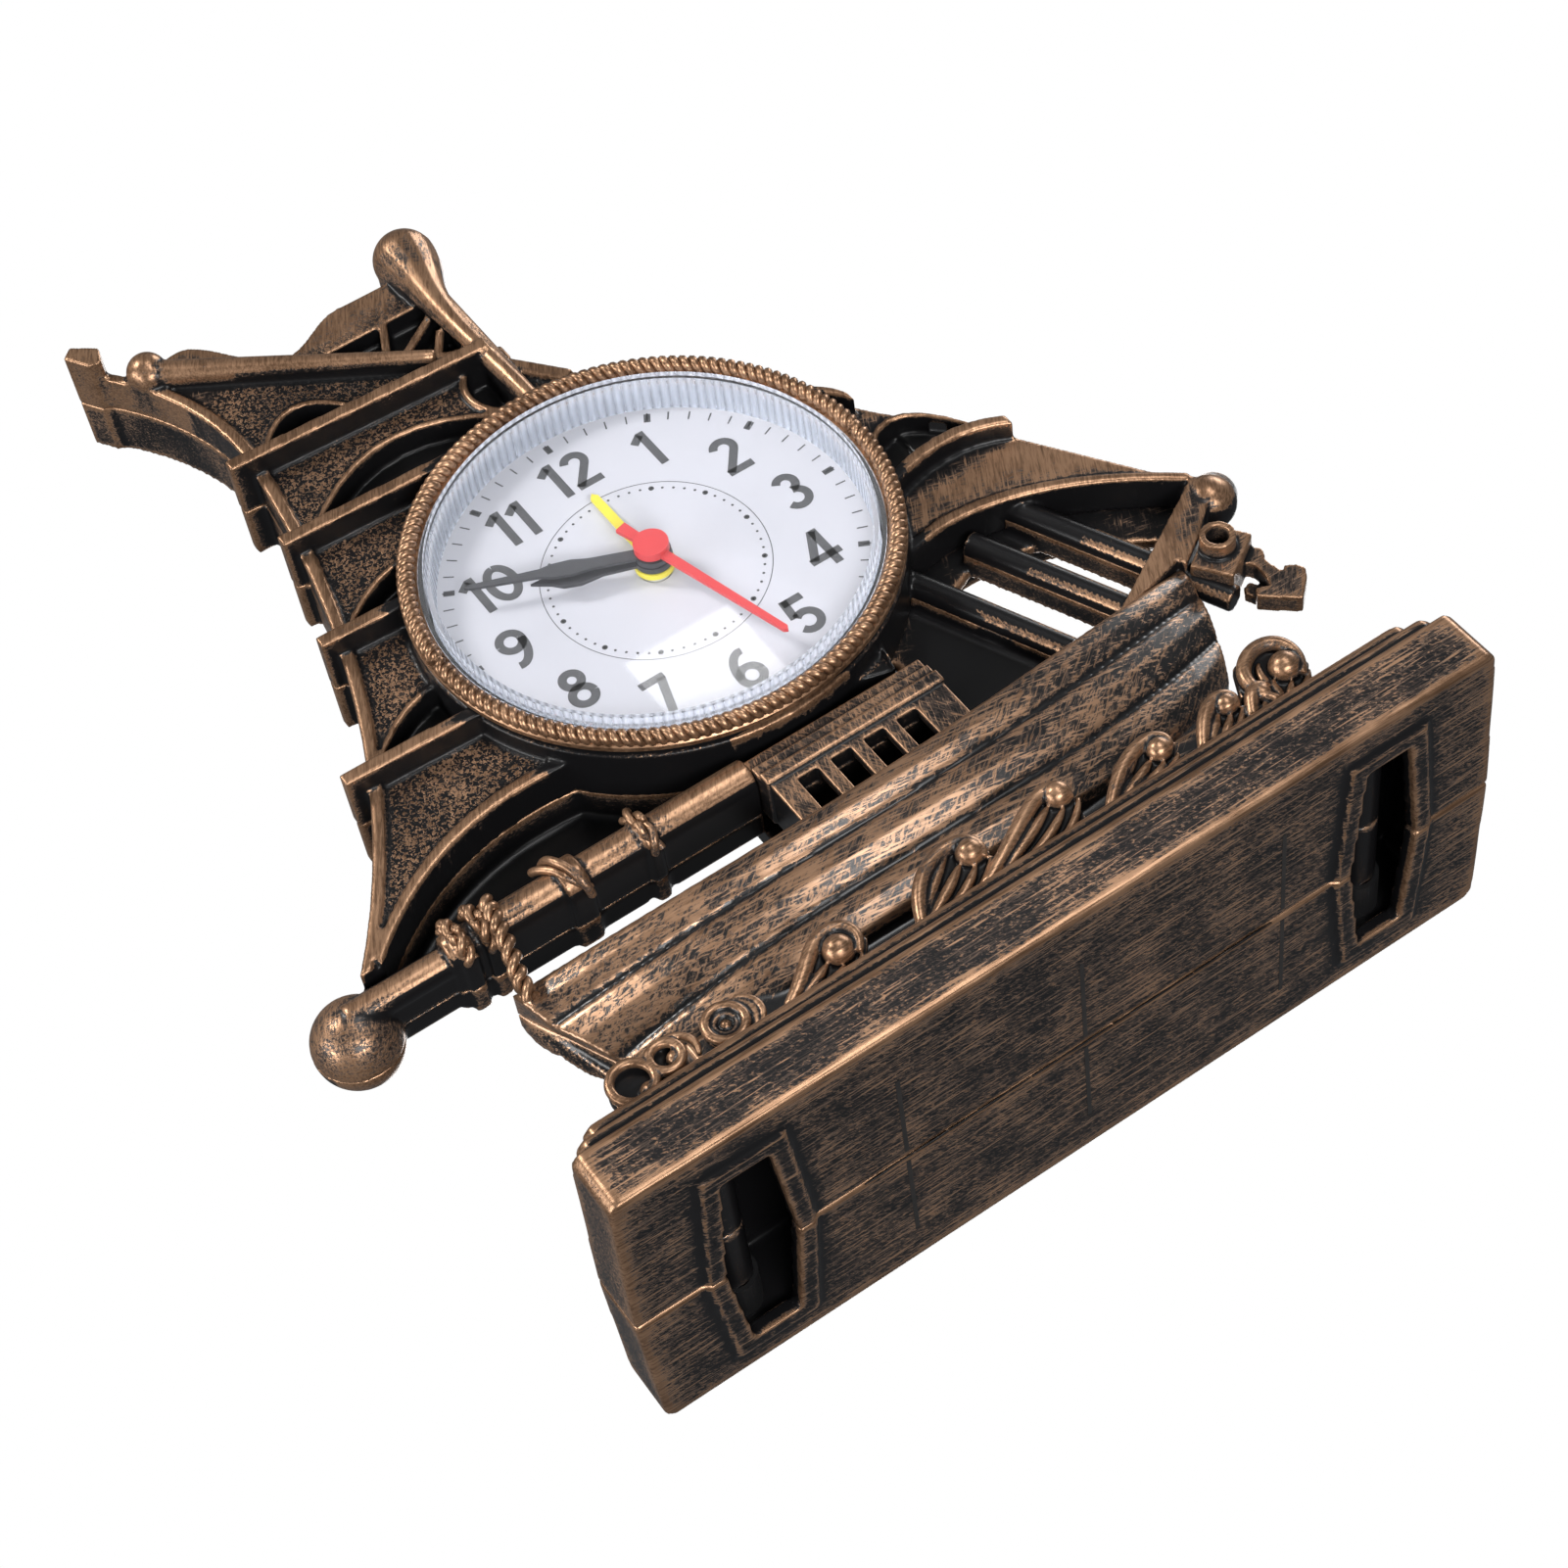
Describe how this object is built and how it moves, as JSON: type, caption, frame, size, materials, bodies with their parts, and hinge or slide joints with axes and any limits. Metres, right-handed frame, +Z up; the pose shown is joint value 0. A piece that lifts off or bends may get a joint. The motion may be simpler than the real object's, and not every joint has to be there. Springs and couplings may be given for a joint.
{
  "type": "mantel clock",
  "caption": "Table clock in the form of a sailing ship on a stepped plinth, with a quartz alarm movement behind a round dial.",
  "frame": {"origin": "centre of the bounding box at the underside the clock stands on", "axes": "+X to the right seen from the front, +Y from the front to the back, +Z up"},
  "size_m": [0.1874, 0.0634, 0.23],
  "materials": {
    "bronzed_plastic": "black moulded plastic rubbed with bronze paint on the raised parts",
    "black_plastic": "plain moulded plastic, slightly shiny",
    "clear_plastic": "clear",
    "dial_white": "printed white dial",
    "hand_black": "satin",
    "hand_red": "satin",
    "hand_yellow": "satin",
    "steel": "bright",
    "wheel_plastic": "natural",
    "plate_plastic": "matte",
    "copper_wire": "enamelled winding",
    "board_green": "lacquered",
    "cell_jacket": "plain jacket"
  },
  "bodies": {
    "case": {"plinth_front": "bronzed_plastic", "plinth_rear": "bronzed_plastic", "hull_front": "bronzed_plastic", "hull_rear": "bronzed_plastic", "sail_front": "bronzed_plastic", "sail_rear": "bronzed_plastic", "cabin": "bronzed_plastic", "wave_scrolls": "bronzed_plastic", "bow_anchor": "bronzed_plastic", "case_screws": "steel", "bezel_ring": "bronzed_plastic", "crystal": "clear_plastic", "dial": "dial_white", "movement_cup": "black_plastic", "movement_back_cover": "black_plastic", "cover_screws": "steel", "battery": "cell_jacket", "contact_plus": "steel", "contact_minus": "steel", "front_plate": "plate_plastic", "rear_plate": "plate_plastic", "plate_screws": "steel", "stator": "steel", "coil": "copper_wire", "circuit_board": "board_green", "buzzer": "black_plastic"},
    "second": {"second_hand": "hand_red", "second_wheel": "wheel_plastic"},
    "minute": {"minute_hand": "hand_black", "minute_wheel": "wheel_plastic"},
    "hour": {"hour_hand": "hand_black", "hour_wheel": "wheel_plastic"},
    "alarm": {"alarm_hand": "hand_yellow", "alarm_wheel": "wheel_plastic"},
    "third": {"third_wheel": "wheel_plastic"},
    "fifth": {"fifth_wheel": "wheel_plastic"},
    "rotor": {"rotor": "wheel_plastic"},
    "motion": {"motion_wheel": "wheel_plastic"},
    "time_setting": {"time_knob": "black_plastic", "time_pinion": "wheel_plastic"},
    "alarm_setting": {"alarm_knob": "black_plastic", "alarm_pinion": "wheel_plastic"},
    "alarm_switch": {"alarm_switch": "black_plastic"},
    "battery_door": {"battery_door": "black_plastic"}
  },
  "joints": [
    {"name": "second_turn", "type": "hinge", "parent": "case", "child": "second", "pos_m": [0.00198, 0.0117, 0.1188], "axis": [0, 1, 0], "continuous": true},
    {"name": "minute_turn", "type": "hinge", "parent": "case", "child": "minute", "pos_m": [0.00198, 0.0117, 0.1188], "axis": [0, 1, 0], "continuous": true},
    {"name": "hour_turn", "type": "hinge", "parent": "case", "child": "hour", "pos_m": [0.00198, 0.0117, 0.1188], "axis": [0, 1, 0], "continuous": true},
    {"name": "third_turn", "type": "hinge", "parent": "case", "child": "third", "pos_m": [0.00594, 0.0117, 0.12566], "axis": [0, 1, 0], "continuous": true},
    {"name": "fifth_turn", "type": "hinge", "parent": "case", "child": "fifth", "pos_m": [0.00978, 0.0117, 0.11743], "axis": [0, 1, 0], "continuous": true},
    {"name": "rotor_turn", "type": "hinge", "parent": "case", "child": "rotor", "pos_m": [0.01537, 0.0117, 0.11743], "axis": [0, 1, 0], "continuous": true},
    {"name": "motion_turn", "type": "hinge", "parent": "case", "child": "motion", "pos_m": [-0.00426, 0.0117, 0.1224], "axis": [0, 1, 0], "continuous": true},
    {"name": "time_knob_turn", "type": "hinge", "parent": "case", "child": "time_setting", "pos_m": [-0.01205, 0.0117, 0.1269], "axis": [0, 1, 0], "continuous": true},
    {"name": "alarm_turn", "type": "hinge", "parent": "case", "child": "alarm", "pos_m": [0.00198, 0.0117, 0.1188], "axis": [0, 1, 0], "continuous": true},
    {"name": "alarm_knob_turn", "type": "hinge", "parent": "case", "child": "alarm_setting", "pos_m": [0.00198, 0.0117, 0.1338], "axis": [0, 1, 0], "continuous": true},
    {"name": "alarm_switch_slide", "type": "slide", "parent": "case", "child": "alarm_switch", "axis": [1, 0, 0], "range_m": [0, 0.005]},
    {"name": "battery_door_slide", "type": "slide", "parent": "case", "child": "battery_door", "axis": [0, 0, -1], "range_m": [0, 0.018]}
  ],
  "couplings": [
    {"joint": "minute_turn", "follows": "second_turn", "ratio": 0.016667},
    {"joint": "hour_turn", "follows": "second_turn", "ratio": 0.0013889},
    {"joint": "third_turn", "follows": "second_turn", "ratio": -0.125},
    {"joint": "fifth_turn", "follows": "second_turn", "ratio": -5},
    {"joint": "rotor_turn", "follows": "second_turn", "ratio": 30},
    {"joint": "motion_turn", "follows": "second_turn", "ratio": -0.0055556},
    {"joint": "time_knob_turn", "follows": "second_turn", "ratio": 0.0083333},
    {"joint": "alarm_knob_turn", "follows": "alarm_turn", "ratio": -1.5}
  ]
}
